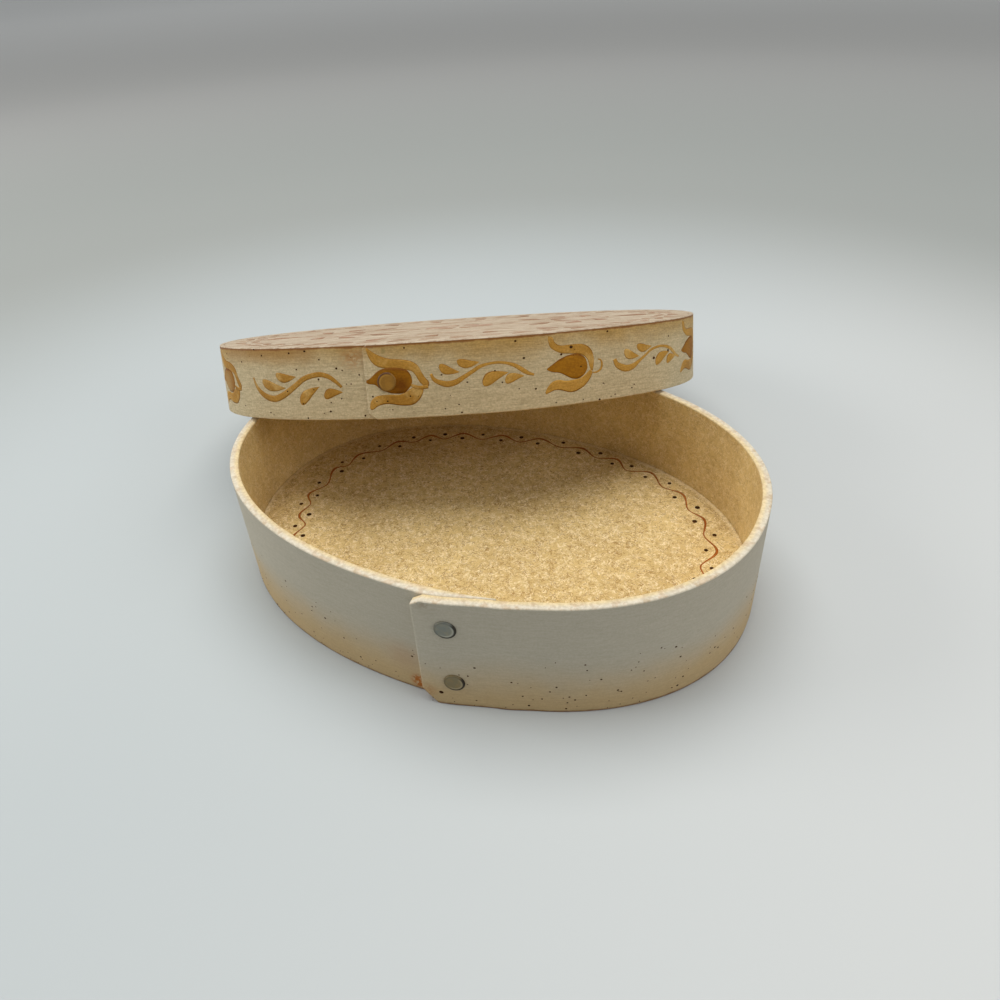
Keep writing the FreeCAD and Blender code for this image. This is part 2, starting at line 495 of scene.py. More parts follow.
def dressed(material, colour, height=None, strength=0.0, depth=0.0):
    """The material, given its colour, and relief from a height pattern with its depth in millimetres."""
    tree = material.node_tree
    shader = tree.nodes["Principled BSDF"]
    tree.links.new(colour.socket, shader.inputs["Base Color"])
    if height is not None:
        inputs = {"Height": height, "Strength": strength, "Distance": depth * MM}
        tree.links.new(node(tree, "Bump", inputs).socket, shader.inputs["Normal"])
    return material


cloudy = ((0.93, 0.92, 0.9), (1.05, 1.05, 1.05))     # the darkest and lightest of paint that has aged


def band_paint(name, plain, wash, edge, worn_end, grain, spots):
    """Paint along a band: a plain colour, a wash over part of its height, and an edge line.

    The wash and the edge are each a colour, the height where it starts and where it is
    full. Each spot is a place, a reach, a tint, a strength, and whether it is ragged.
    """
    material, tree = finish(name, 0.6, 0.2)
    place = own_place(tree)
    height = place.part("Z") * (1 / MM)
    marks = place.stretched((1.0, 1.0, 14.0)).noise(90.0, 4.0, 0.6)
    hairs = place.stretched((1.0, 1.0, 9.0)).noise(330.0, 3.0, 0.6)
    grit = place.noise(1400.0, 2.0, 0.6)
    blot = place.noise(700.0, 4.0, 0.75).step(0.4, 0.54)
    cloud = (place.noise(38.0, 3.0, 0.55) - 0.5) * 14.0
    colour = (height + cloud).step(*wash[1:]).mix(plain, wash[0])
    for pattern, reach in ((marks, 0.07), (hairs, 0.10), (grit, 0.10)):
        reach = reach * grain
        dark = (1.0 - reach, 1.0 - 1.1 * reach, 1.0 - 1.4 * reach)
        colour = colour.tinted(pattern.step(0.33, 0.67), dark, (1.0 + 0.8 * reach,) * 3)
    colour = colour.tinted(place.noise(14.0, 2.0), *cloudy)
    for spot, reach, tint, strength, ragged in spots:
        share = place.near(spot, reach) * strength
        colour = (share * blot if ragged else share).mix(colour, tint)
    uneven = (place.noise(200.0, 3.0, 0.6) - 0.5) * 1.5
    colour = ((height + uneven).step(*edge[1:]) * 0.85).mix(colour, edge[0])
    worn = brush_place(tree).part("X").step(1.1, 0.3) * grit.step(0.35, 0.6)
    colour = (worn * worn_end).mix(colour, srgb(232, 222, 196))
    return dressed(material, colour, marks * 0.6 + hairs * 0.4, 0.35 * grain, 0.25)


def fibres(place, layers):
    """Fine curly lines, where a pushed pattern crosses a level."""
    drift = place.noise(260.0, 2.0, output="Color")
    pushed = node(place.tree, "VectorMath", {0: drift, "Scale": 0.004}, operation="SCALE")
    curled = node(place.tree, "VectorMath", {0: place, 1: pushed}, operation="ADD")
    found = 0.0
    for scale, level, thin in layers:
        ridge = abs(curled.noise(scale, 1.0, 0.4) - level).step(thin, 0.0)
        gate = place.noise(scale * 0.45, 1.0).step(0.44, 0.56)
        found = (ridge * gate).math("MAXIMUM", found)
    return found


def fibre_board(name, base, deep, pale, clear, edge_worn=False):
    """Pressed board of fine curly fibres under a thin varnish, which may be worn along its edge."""
    material, tree = finish(name, 0.6, 0.12)
    place = own_place(tree)
    light = fibres(place, ((430.0, 0.5, 0.045), (600.0, 0.47, 0.05), (820.0, 0.53, 0.055)))
    dark = fibres(place, ((480.0, 0.46, 0.034), (680.0, 0.54, 0.04), (900.0, 0.47, 0.045)))
    colour = place.noise(45.0, 4.0, 0.6).step(0.3, 0.7).mix(base, between_colours(base, deep, 0.22))
    colour = colour.tinted(place.noise(1600.0, 2.0, 0.6), (0.78, 0.76, 0.71), (1.14, 1.14, 1.15))
    colour = (light * (0.7 * clear)).mix(colour, pale)
    colour = (dark * (0.7 * clear)).mix(colour, deep)
    if edge_worn:
        inside = brush_place(tree).part("Y") + (place.noise(90.0, 2.0) - 0.5) * 0.9
        colour = (inside.step(2.6, 0.6) * 0.35).mix(colour, pale)
        broken = place.noise(30.0, 2.0).step(0.4, 0.55)
        for depth, width, strength in ((3.1, 0.16, 0.55), (2.3, 0.12, 0.3)):
            line = abs(inside - depth).step(width, 0.0) * broken
            colour = (line * strength).mix(colour, deep)
    return dressed(material, colour, light - dark, 0.35, 0.12)


def worn_rim(name, inner, outer, patch):
    """Cream paint on the rim, yellower to the inside, mottled and rubbed."""
    material, tree = finish(name, 0.6, 0.3)
    place = own_place(tree)
    mottle = place.noise(300.0, 4.0, 0.65)
    across = brush_place(tree).part("Y") + (mottle - 0.5) * 0.6
    colour = across.step(0.1, 0.75).mix(inner, outer)
    colour = (mottle.step(0.48, 0.62) * 0.5).mix(colour, patch)
    speckle = place.noise(900.0, 3.0, 0.6).step(0.35, 0.65)
    colour = colour.tinted(speckle, (0.88, 0.86, 0.82), (1.06, 1.06, 1.07))
    colour = colour.tinted(place.noise(40.0, 2.0), *cloudy)
    return dressed(material, colour, mottle, 0.4, 0.2)


def stroke_paint(name, plain, deep, pale, edge_share=0.10, pale_share=0.5, spots=()):
    """Thin translucent paint: streaked along the stroke and pooled dark along one edge.

    Each spot is a place, a reach, a core, a tint and a strength.
    """
    material, tree = finish(name, 0.6, 0.12)
    place = own_place(tree)
    brush = brush_place(tree)
    uneven = place.noise(130.0, 3.0, 0.55)
    streaks = brush.stretched((1.6, 9.0, 1.0)).noise(3.0, 4.0, 0.6)
    across = brush.part("Y") + (uneven - 0.5) * 0.25
    colour = streaks.step(0.35, 0.7).mix(plain, between_colours(plain, deep, 0.45))
    loaded = place.noise(34.0, 2.0).step(0.38, 0.62)
    colour = colour.tinted(loaded, (0.82, 0.76, 0.66), (1.08, 1.09, 1.16))
    colour = (uneven.step(0.52, 0.72) * pale_share).mix(colour, pale)
    for spot, reach, core, tint, strength in spots:
        colour = (place.near(spot, reach, core) * strength).mix(colour, tint)
    colour = (across.step(1.0 - edge_share * 0.4, 1.0) * 0.6).mix(colour, deep)
    colour = (across.step(edge_share, edge_share * 0.35) * 0.85).mix(colour, deep)
    grit = place.noise(1300.0, 3.0, 0.65).step(0.35, 0.65)
    colour = colour.tinted(grit, (0.86, 0.84, 0.76), (1.08, 1.08, 1.10))
    return dressed(material, colour, streaks, 0.25, 0.1)


def drop_paint(name, colour, worn):
    """Opaque paint of dots, specks and lines, a little uneven."""
    material, tree = finish(name, 0.6, 0.05)
    patchy = own_place(tree).noise(300.0, 3.0, 0.6)
    return dressed(material, patchy.step(0.4, 0.75).mix(colour, worn), patchy, 0.2, 0.1)


def rivet_metal(name, colour, stained, painted_shade, painted_highlight, shaded_side, metallic=0.4):
    """A hammered head: painted shade in a crescent near its edge on one side, with a painted highlight in a
    ring just inside it.
    """
    material, tree = finish(name, 0.45, 0.45, metallic)
    place = own_place(tree)
    brush = brush_place(tree)
    from_middle = brush.measure("LENGTH")     # in millimetres, as the map is
    shaded = brush.measure("DOT_PRODUCT", (*shaded_side, 0.0)).step(-0.6, 1.6)
    colour = place.noise(500.0, 4.0, 0.6).step(0.35, 0.7).mix(colour, stained)
    ring = from_middle.step(2.0, 2.6) * from_middle.step(2.95, 2.65)
    # painted highlight: a light ring inside the edge, on the side given as shaded
    colour = (ring * shaded * 0.6).mix(colour, painted_highlight)
    # painted shade: a dark crescent at the edge of the head, on the side given as shaded
    shade_crescent = from_middle.step(2.75, 3.1) * (shaded + 0.3)
    colour = (shade_crescent * 0.85).mix(colour, painted_shade)
    return dressed(material, colour, place.noise(700.0, 2.0), 0.4, 0.15)


def lid_ground(name, base, pale, streak):
    """Cream paint brushed along the board, with darker streaks showing through."""
    material, tree = finish(name, 0.55, 0.35)
    place = own_place(tree)
    grain = place.stretched((1.0, 7.0, 1.0)).noise(60.0, 5.0, 0.65)
    fine = place.stretched((1.0, 4.0, 1.0)).noise(210.0, 4.0, 0.7, 0.6)
    colour = grain.step(0.38, 0.6).mix(base, pale)
    colour = (fine.step(0.5, 0.62) * 0.65).mix(colour, streak)
    return dressed(material, colour, grain, 0.35, 0.2)


def spot_on(strip, distance, height):
    return tuple(strip.face(np.array(distance), np.array(height)))


board_colours = (srgb(222, 194, 134), srgb(136, 92, 30), srgb(250, 232, 190))
worn_lid = srgb(144, 98, 42)
bare_board = fibre_board("bare_board", *board_colours, 0.55)
floor_board = fibre_board("floor_board", *board_colours, 1.0, edge_worn=True)
box_spots = [
    (spot_on(box, 425.6, 3.9), 5.0, srgb(168, 96, 30), 1.6, True),
    (spot_on(box, 430.5, 6.0), 5.0, srgb(156, 100, 44), 0.5, True),
    (spot_on(box, 421.0, 15.0), 11.0, srgb(172, 128, 78), 0.35, False),
    (spot_on(box, 433.0, 46.4), 5.5, srgb(120, 92, 52), 0.4, True),
]
box_outside = band_paint(
    "box_outside", srgb(179, 172, 156), (srgb(187, 162, 121), 27.0, 4.0),
    (srgb(120, 88, 52), 1.4, 0.2), 0.05, 0.4, box_spots)
lid_spots = [
    (spot_on(lid, 374.0, 24.0), 8.0, srgb(158, 108, 52), 0.75, True),
    (spot_on(lid, 385.7, 25.4), 1.6, srgb(128, 118, 72), 0.6, False),
]
for distance in np.arange(315.0, 356.0, 8.0):
    lid_spots.append((spot_on(lid, distance, 28.5), 10.0, worn_lid, 0.55, False))
lid_outside = band_paint(
    "lid_outside", srgb(192, 175, 141), (srgb(176, 142, 80), 17.5, 29.0),
    (srgb(122, 70, 28), 26.6, 27.3), 0.1, 1.2, lid_spots)
rim_paint = worn_rim("rim_paint", srgb(219, 199, 155), srgb(212, 203, 184), srgb(192, 162, 124))
lid_top_paint = lid_ground("lid_top_paint", srgb(160, 136, 108), srgb(194, 178, 154), srgb(132, 98, 68))
lid_foot_paint = drop_paint("lid_foot_paint", srgb(196, 176, 138), srgb(176, 140, 92))
edge_paint = drop_paint("edge_paint", srgb(128, 74, 38), srgb(176, 124, 72))
ochre = stroke_paint("ochre_strokes", srgb(188, 142, 62), srgb(126, 82, 18), srgb(206, 174, 110))
bud_shade = (spot_on(lid, 390.9, 12.4), 4.4, 0.6, srgb(110, 62, 4), 0.95)
thin_paint = (spot_on(lid, 306.5, 13.0), 9.0, 0.6, srgb(176, 142, 88), 0.7)
bud_ochre = stroke_paint(
    "bud_strokes", srgb(158, 106, 16), srgb(110, 62, 2), srgb(180, 128, 30), 0.14, 0.35,
    [bud_shade, thin_paint])
border_paint = stroke_paint(
    "border_strokes", srgb(172, 98, 34), srgb(112, 60, 18), srgb(198, 140, 80), 0.2, 0.3)
russet = stroke_paint(
    "russet_strokes", srgb(156, 120, 92), srgb(120, 84, 60), srgb(186, 158, 130), 0.2, 0.7)
rose = stroke_paint(
    "rose_strokes", srgb(174, 144, 120), srgb(136, 102, 80), srgb(196, 174, 150), 0.12, 0.8)
dark_brown = drop_paint("dark_drops", srgb(52, 28, 8), srgb(82, 50, 22))
# The side of each rivet head where its painted shade and painted highlight lie
lower_right = (0.8, -0.6)
upper_left = (-0.8, 0.6)
# Each rivet finish gives its colour, a stain, and then the colours of its painted shade and its painted
# highlight
steel = rivet_metal(
    "rivet_metal", srgb(118, 121, 114), srgb(134, 130, 112), srgb(44, 40, 30), srgb(176, 174, 160),
    lower_right)
stained_steel = rivet_metal(
    "stained_rivet_metal", srgb(124, 112, 82), srgb(138, 118, 78), srgb(42, 34, 22), srgb(170, 158, 128),
    lower_right)
painted_rivet = rivet_metal(
    "painted_rivet", srgb(134, 94, 14), srgb(148, 104, 22), srgb(84, 48, 6), srgb(176, 130, 50), upper_left,
    metallic=0.0)


# Bands and boards

def round_corner(middle, radius, start_degrees, steps=5):
    """Points of a quarter turn, anticlockwise from a direction."""
    turn = np.radians(start_degrees + np.linspace(0.0, 90.0, steps))
    return middle[0] + radius * np.cos(turn), middle[1] + radius * np.sin(turn)


def profile(inner, outer, low, high, rim, foot):
    """Section of a band as offsets and heights, from the foot of its inner face round.

    Gives the points and the finish of the face that starts at each: 0 outside, 1 inside,
    2 the rounded rim and 3 the foot.
    """
    rim = min(rim, 0.45 * (outer - inner))
    foot = min(foot, 0.45 * (outer - inner))
    shares = np.array([0.012, 0.1, 0.25, 0.4, 0.55, 0.7, 0.85, 0.95, 0.988])
    rows = low + foot + (high - rim - low - foot) * shares
    offsets = []
    heights = []
    parts = []
    corners = (
        ((outer - foot, low + foot), foot, 270.0, 3, rows, outer, 0),
        ((outer - rim, high - rim), rim, 0.0, 2, None, 0.0, 2),
        ((inner + rim, high - rim), rim, 90.0, 2, rows[::-1], inner, 1),
        ((inner + foot, low + foot), foot, 180.0, 3, None, 0.0, 3),
    )
    for middle, radius, start, corner_part, face_rows, offset, face_part in corners:
        x, z = round_corner(middle, radius, start)
        offsets.extend(x)
        heights.extend(z)
        parts.extend([corner_part] * (len(x) - 1) + [face_part])
        if face_rows is not None:
            offsets.extend([offset] * len(face_rows))
            heights.extend(face_rows)
            parts.extend([face_part] * len(face_rows))
    return np.array(offsets), np.array(heights), parts


def band_mesh(strip, rim, foot, end_round, clip_finish):
    """A whole band: one strip with rounded rim and foot, clipped corners and a thinned inner end."""
    total = oval_round + lap_length
    near_end = [0.0, 0.06, 0.15, 0.3, 0.5, 0.8, 1.2, 1.8, 2.4, 3.0, 3.6, 4.3, 5.0, 6.0]
    rest = np.linspace(7.0, total - 0.6, band_stations)
    stations = np.concatenate([near_end, rest, [total]])
    rings = []
    maps = []
    for along in stations:
        inner = float(strip.inner(np.array(along)))
        outer = float(strip.outer(np.array(along)))
        if along < oval_round:
            outer -= skin_room
        worn = max(0.0, 1.0 - along / end_round)
        outer -= end_round * 0.6 * (1.0 - math.sqrt(max(0.0, 1.0 - worn**2)))
        high = strip.height - strip.top_clip[1] * max(0.0, 1.0 - along / strip.top_clip[0])
        low = strip.bottom_clip[1] * max(0.0, 1.0 - along / strip.bottom_clip[0])
        offsets, heights, parts = profile(inner, outer, low, high, rim, foot)
        flat = on_oval(np.full(len(offsets), strip.start + along), offsets)
        rings.append(np.concatenate([flat, heights[:, None]], 1))
        across = (offsets - inner) / (outer - inner)
        maps.append(np.stack([np.full(len(offsets), along), across], 1))
    width = len(parts)
    finishes = []
    for station in stations[1:]:
        rim_finish = clip_finish if station <= strip.top_clip[0] else 2
        finishes.extend(rim_finish if part == 2 else part for part in parts)
    last = (len(stations) - 1) * width
    ends = [range(width), range(last, last + width)]
    shape = Shape()
    shape.add(np.concatenate(rings), ring_faces(len(stations), width) + ends, np.concatenate(maps))
    shape.finishes = finishes + [0, 0]
    return shape


def board_mesh(offset, low, high):
    """An oval board with softened edges; its map tells how far inside the edge a place lies."""
    distances = np.linspace(0.0, oval_round, board_sides, endpoint=False)
    edge_offset = offset(distances)
    corner = board_corner
    levels = [(corner, low), (0.0, low + corner), (0.0, high - corner), (0.3 * corner, high - 0.3 * corner)]
    levels += [(inset, high) for inset in (corner, 1.5, 3.0, 5.0, 9.0)]
    rings = []
    for inset, height in levels:
        flat = on_oval(distances, edge_offset - inset)
        rings.append(np.concatenate([flat, np.full((len(flat), 1), height)], 1))
    for share in (0.85, 0.65, 0.45, 0.2):
        ring = rings[len(levels) - 1].copy()
        ring[:, :2] *= share
        rings.append(ring)
    under = rings[0].copy()
    under[:, :2] *= 0.3
    count = len(distances)
    points = np.concatenate([under] + rings + [[[0.0, 0.0, high]], [[0.0, 0.0, low]]])
    insets = [deep_inside] + [level[0] for level in levels] + [deep_inside] * 4
    maps = [(0.0, inset) for inset in insets for _ in distances] + [(0.0, deep_inside)] * 2
    layers = len(rings) + 1
    top = layers * count
    faces = ring_faces(layers, count) + fan(top, top - count, count) + fan(top + 1, 0, count)
    shape = Shape()
    shape.add(points, faces, maps)
    return shape


def rivet_mesh(strip, place, rng):
    """A flat-headed rivet, hammered a little uneven, with its tail inside the wall."""
    setback, height = place
    middle, along, outward = strip.axes(strip.start + setback, height, skin_room)
    lap = strip.wall + float(strip.layer(setback))
    tail = -lap - tail_thickness
    section = [
        (0.0, tail), (tail_radius * 0.8, tail), (tail_radius, -lap - tail_thickness * 0.6),
        (tail_radius, -lap + 0.1), (shank_radius, -lap + 0.2), (shank_radius, -0.6), (head_radius, -0.5),
        (head_radius, head_thickness - head_edge_round), (head_radius - 0.1, head_thickness - 0.12),
        (head_radius - 0.3, head_thickness - 0.02), (head_radius - 0.6, head_thickness),
        (head_radius * 0.6, head_thickness - 0.03), (head_radius * 0.3, head_thickness - 0.07),
        (0.0, head_thickness - 0.11),
    ]
    phase = rng.random() * 2 * math.pi

    def hammered(radius, rise, turn):
        dent = 0.03 * np.sin(3 * turn + 2 * phase) - 0.03
        on_face = rise > head_thickness - 0.15 and radius < head_radius - 0.4
        reach = radius * (1.0 + 0.015 * np.sin(2 * turn + phase) - 0.015)
        return reach, rise + dent * on_face

    shape = Shape()
    add_turned(shape, middle, along, (0.0, 0.0, 1.0), outward, section, 40, hammered)
    return shape


rng = random.Random(11)

band_finishes = [box_outside, bare_board, rim_paint, edge_paint]
lid_finishes = [lid_outside, bare_board, lid_top_paint, lid_foot_paint]
band_mesh(box, *box_rounding, clip_finish=2).make(
    "painted_box_band", "box", "box_paint", band_finishes, ["box_band"])
band_mesh(lid, *lid_rounding, clip_finish=0).make(
    "painted_lid_band", "lid", "lid_paint", lid_finishes, ["lid_band"])
bottom = board_mesh(lambda distance: np.full_like(distance, -board_clearance), 0.0, bottom_thickness)
bottom.make("bottom_board", "box", "inside_board", [floor_board], ["box_bottom"])
top_edge = box_wall + lid_clearance - board_clearance
lid_face = lid_height - lid_face_drop
top = board_mesh(lambda distance: top_edge + room_for_lap(distance), lid_height - top_thickness, lid_face)
top.make("lid_top_board", "lid", "lid_top_paint", [lid_top_paint], ["lid_top"])

rivets = (
    (box, upper_rivet, "upper_rivet", "box", "rivet_steel", steel, "box_rivet_upper"),
    (box, lower_rivet, "lower_rivet", "box", "rivet_steel", stained_steel, "box_rivet_lower"),
    (lid, lid_rivet, "painted_lid_rivet", "lid", "lid_rivet_paint", painted_rivet, "lid_rivet"),
)
for strip, place, name, body, slot, metal, built in rivets:
    rivet_mesh(strip, place, rng).make(name, body, slot, [metal], [built])


# The frieze round the lid: tulips that point left, with a scroll between each two

frieze_level = 14.4

# A wide tulip: its upper and lower petal, each as two edges, its bud and the hook at its foot
wide_tulip = {
    "petals": [
        ([(1.7, 12.5), (4.2, 10.6), (6.7, 9.2), (9.6, 8.1), (13.8, 7.5), (17.1, 6.7), (19.4, 5.0),
          (20.6, 2.5), (21.7, 0.4), (22.9, -1.2), (22.7, -2.9)],
         [(1.5, 11.5), (2.5, 8.4), (4.2, 6.1), (6.7, 4.8), (10.4, 4.4), (14.2, 3.7), (16.7, 3.2),
          (18.0, 2.0), (18.9, 0.2), (19.7, -1.3), (20.8, -2.5)]),
        ([(1.1, -10.6), (2.1, -10.6), (4.6, -9.15), (7.9, -8.65), (12.1, -9.4), (16.3, -9.5), (18.8, -7.9),
          (20.4, -5.4), (20.8, -3.6)],
         [(0.85, -9.6), (1.5, -7.5), (3.35, -5.8), (5.85, -5.2), (8.8, -5.2), (12.1, -5.4), (14.6, -4.4),
          (16.6, -3.2), (19.4, -2.6)]),
    ],
    "bud": ([(0.0, 0.2), (1.9, 1.0), (3.6, 2.4), (5.4, 3.8), (7.9, 4.6), (12.1, 4.6), (15.4, 3.5),
             (16.8, 1.2), (17.0, -0.6)],
            [(0.0, -0.2), (1.3, -1.0), (3.6, -1.3), (5.4, -2.7), (7.9, -4.2), (10.4, -4.9), (13.8, -4.8),
             (15.9, -3.0), (17.0, -1.0)]),
    "touch": ([(22.5, -3.0), (19.6, -3.2), (17.1, -2.4), (15.8, -1.4)], (1.3, 1.4, 1.3, 0.7)),
}

# A rounder tulip, with a thin curl behind it
round_tulip = {
    "petals": [
        ([(1.0, 12.1), (2.6, 11.6), (3.5, 9.6), (5.4, 8.4), (9.1, 8.3), (13.5, 8.2), (16.2, 7.3),
          (18.1, 5.4), (18.9, 2.5), (18.8, 0.0), (18.3, -2.4)],
         [(0.8, 10.9), (1.4, 8.3), (3.1, 6.7), (5.8, 5.4), (9.5, 4.9), (12.5, 4.6), (15.0, 3.4),
          (16.4, 1.7), (16.9, -0.4), (17.4, -1.9)]),
        ([(-0.7, -9.4), (0.8, -8.8), (2.9, -8.1), (5.4, -8.5), (8.3, -9.5), (11.2, -9.4), (14.5, -7.9),
          (17.0, -5.4), (18.3, -2.9)],
         [(-1.1, -8.7), (0.0, -6.6), (2.0, -4.8), (4.5, -4.4), (7.0, -5.0), (9.5, -5.0), (12.5, -4.7),
          (15.0, -3.6), (17.4, -1.7)]),
    ],
    "bud": ([(0.0, 0.2), (2.5, 1.8), (5.4, 3.5), (9.1, 4.6), (12.5, 4.6), (15.0, 3.1), (16.0, 0.8),
             (16.1, -0.9)],
            [(0.0, -0.2), (1.6, -1.1), (5.0, -1.9), (7.5, -3.3), (9.6, -4.4), (12.0, -4.7), (14.5, -3.5),
             (16.1, -1.3)]),
    "touch": ([(18.3, -3.1), (20.0, -3.1), (21.8, -2.1), (22.3, -0.4), (21.8, 1.3), (20.6, 1.7)],
              (0.4, 0.7, 0.8, 0.9, 0.7, 0.4)),
}

# A leaf goes from its round end to its tip, with its width and the side that bulges: 1 is left
deep_scroll = {
    "line": [(0.0, 0.0), (1.2, -3.3), (3.7, -6.0), (7.0, -7.7), (10.8, -8.1), (14.9, -6.6), (18.3, -4.6),
             (21.6, -2.5), (24.5, -0.6), (27.9, 0.6), (31.6, 1.1), (34.9, 0.2), (37.4, -1.6), (39.7, -3.9)],
    "widths": (0.7, 1.9, 2.6, 2.5, 2.2, 2.0, 2.0, 1.8, 1.0),
    "leaves": [((4.9, -1.2), (16.2, -4.0), 3.2, -1), ((12.2, 1.2), (21.6, 0.4), 3.0, -1),
               ((22.4, -10.2), (30.9, -3.5), 3.2, 1), ((32.4, -7.6), (39.9, -5.8), 3.0, 1)],
}
shallow_scroll = {
    "line": [(-0.2, 0.9), (0.8, -1.2), (3.1, -2.6), (5.6, -3.2), (8.5, -2.6), (11.4, -1.0), (15.1, 1.1),
             (17.2, 2.4), (20.1, 3.2), (23.4, 3.5), (26.8, 3.0), (29.7, 1.9), (31.4, 0.7), (33.9, -1.2),
             (36.3, -2.2)],
    "widths": (0.9, 1.7, 2.3, 2.1, 1.6, 1.4, 1.3, 1.0, 1.0, 1.1, 1.6, 1.7, 0.8),
    "leaves": [((2.9, 3.9), (10.0, 0.9), 2.7, -1), ((9.2, 4.9), (17.2, 4.1), 2.7, -1),
               ((17.9, -4.4), (27.1, -0.4), 3.6, 1), ((25.8, -4.0), (32.7, -2.2), 2.8, 1)],
}
narrow_scroll = {
    "line": shallow_scroll["line"],
    "widths": (1.5, 2.6, 2.8, 2.2, 1.3, 1.0, 1.0, 1.0, 1.1, 1.2, 1.4, 1.3, 0.8),
    "leaves": [((4.3, 3.8), (11.4, 0.9), 2.9, -1), ((10.3, 5.0), (18.1, 4.1), 2.7, -1),
               ((20.2, -3.4), (28.8, 0.8), 3.2, 1), ((27.0, -3.4), (33.6, -1.4), 2.7, 1)],
}

# Where each tulip starts, how far it is stretched along the band, and where the scroll
# after it starts, its height and its form
frieze = (
    (298.0, 0.95, wide_tulip, 328.9, 16.4, deep_scroll),
    (377.9, 1.0, wide_tulip, 401.9, 15.1, shallow_scroll),
    (443.1, 1.0, round_tulip, 471.3, 14.4, narrow_scroll),
    (510.0, 1.05, round_tulip, 538.0, 15.6, shallow_scroll),
    (578.4, 0.95, wide_tulip, 607.5, 16.9, deep_scroll),
    (646.8, 1.05, round_tulip, 675.5, 15.6, shallow_scroll),
    (715.2, 0.95, wide_tulip, 744.0, 16.9, deep_scroll),
    (783.6, 1.05, round_tulip, 812.0, 15.6, shallow_scroll),
)


def placed(points, start, level, stretch=1.0):
    return [(start + stretch * x, level + y) for x, y in points]


def leaf_edges(round_end, tip, width, side, rng):
    """A leaf in one touch of the brush: round where it is set down, bent, and drawn to a tip."""
    round_end = np.array(round_end)
    ahead = np.array(tip) - round_end
    share = np.linspace(0.0, 1.0, 30) ** 1.25
    across = side * np.array([-ahead[1], ahead[0]]) / np.hypot(*ahead)
    bend = 0.32 * width * np.sin(math.pi * share**0.85)
    half = 0.6 * width * np.sqrt(1.0 - (1.0 - np.clip(share / 0.32, 0.0, 1.0)) ** 2)
    half = half * (1.0 - np.clip((share - 0.35) / 0.65, 0.0, 1.0) ** 1.5) + 0.03
    line = round_end + share[:, None] * ahead
    outer = line + across * (bend + half + unsteady(rng, len(share), 0.05))[:, None]
    inner = line + across * (bend - half + unsteady(rng, len(share), 0.04))[:, None]
    return (outer, inner) if side > 0 else (inner, outer)


def paint_tulip(petals, buds, tulip, start, stretch, rng):
    """One tulip: two petals spread about a bud, and a last touch of the brush."""
    def line(points, count=40):
        return through(placed(points, start, frieze_level, stretch), count)

    for edges in tulip["petals"]:
        upper, lower = map(line, edges)
        upper[:, 1] += unsteady(rng, len(upper), 0.05)
        lay(petals, lid.face, (upper, lower), rows=6)
    touch, widths = tulip["touch"]
    lay(petals, lid.face, widened(line(touch, 20), widths, rng, 0.03), touch_coat, rows=3)
    lay(buds, lid.face, map(line, tulip["bud"]), second_coat, rows=8)


def paint_scroll(petals, start, level, scroll, rng):
    """One S-shaped scroll with its four leaves."""
    line = through(placed(scroll["line"], start, level), 70)
    lay(petals, lid.face, widened(line, scroll["widths"], rng), rows=4)
    for round_end, tip, width, side in scroll["leaves"]:
        ends = placed([round_end, tip], start, level)
        lay(petals, lid.face, leaf_edges(*ends, width, side, rng))


def paint_frieze(rng):
    petals = Shape()
    buds = Shape()
    for tulip_start, stretch, tulip, scroll_start, level, scroll in frieze:
        paint_tulip(petals, buds, tulip, tulip_start, stretch, rng)
        paint_scroll(petals, scroll_start, level, scroll, rng)
    petals.make("lid_frieze", "lid", "ochre_paint", [ochre])
    buds.make("lid_frieze_buds", "lid", "ochre_paint", [bud_ochre])


paint_frieze(rng)


# Specks of paint spattered on both bands. Those that stand out have their own places: a
# distance, a height and a radius. Of the rest only the number, the reach up and the
# smallest and largest radius are given.

lid_marks = [
    (331.4, 27.4, 0.35), (348.6, 25.8, 0.4), (355.4, 26.4, 0.4), (360.9, 23.1, 0.3), (367.3, 19.6, 0.42),
    (351.0, 19.6, 0.3), (336.1, 2.7, 0.33), (363.8, 6.8, 0.28), (368.0, 8.2, 0.3), (360.5, 2.7, 0.25),
    (357.4, 11.8, 0.25), (352.2, 6.5, 0.33), (369.5, 18.8, 0.3), (375.7, 16.9, 0.33), (370.6, 13.6, 0.24),
    (372.3, 13.6, 0.26), (380.3, 8.7, 0.38), (393.1, 26.0, 0.33), (387.1, 3.5, 0.25), (393.8, 8.2, 0.3),
    (385.6, 6.8, 0.3), (405.8, 2.8, 0.28), (411.6, 1.0, 0.33), (405.4, 15.4, 0.28), (414.3, 12.1, 0.28),
    (452.8, 21.8, 0.65), (448.8, 19.4, 0.42), (432.1, 25.8, 0.42), (434.8, 19.4, 0.42), (438.6, 7.6, 0.35),
    (424.3, 15.6, 0.3), (456.5, 14.1, 0.4), (457.0, 1.4, 0.28), (464.0, 0.5, 0.4), (465.8, 6.6, 0.28),
    (490.5, 13.6, 0.6), (499.4, 15.6, 0.6), (468.2, 26.2, 0.4), (499.8, 21.3, 0.35), (478.8, 3.2, 0.3),
    (480.0, 4.4, 0.28),
]
box_marks = [
    (434.7, 5.9, 0.75), (479.9, 22.8, 0.28), (480.5, 20.2, 0.28), (484.9, 15.4, 0.32), (490.3, 9.2, 0.36),
    (491.4, 8.3, 0.32), (475.2, 7.7, 0.32), (477.0, 6.2, 0.32), (469.2, 10.2, 0.28), (474.2, 1.9, 0.36),
    (480.4, 8.2, 0.28), (510.6, 17.4, 0.36), (525.2, 12.4, 0.36), (527.0, 10.9, 0.36), (512.6, 6.7, 0.32),
]
box_spatter = (330, 26.0, 0.16, 0.42)
lid_spatter = (130, 27.0, 0.1, 0.4)
speck_margin = 0.8           # kept free along the lower edge and the upper reach


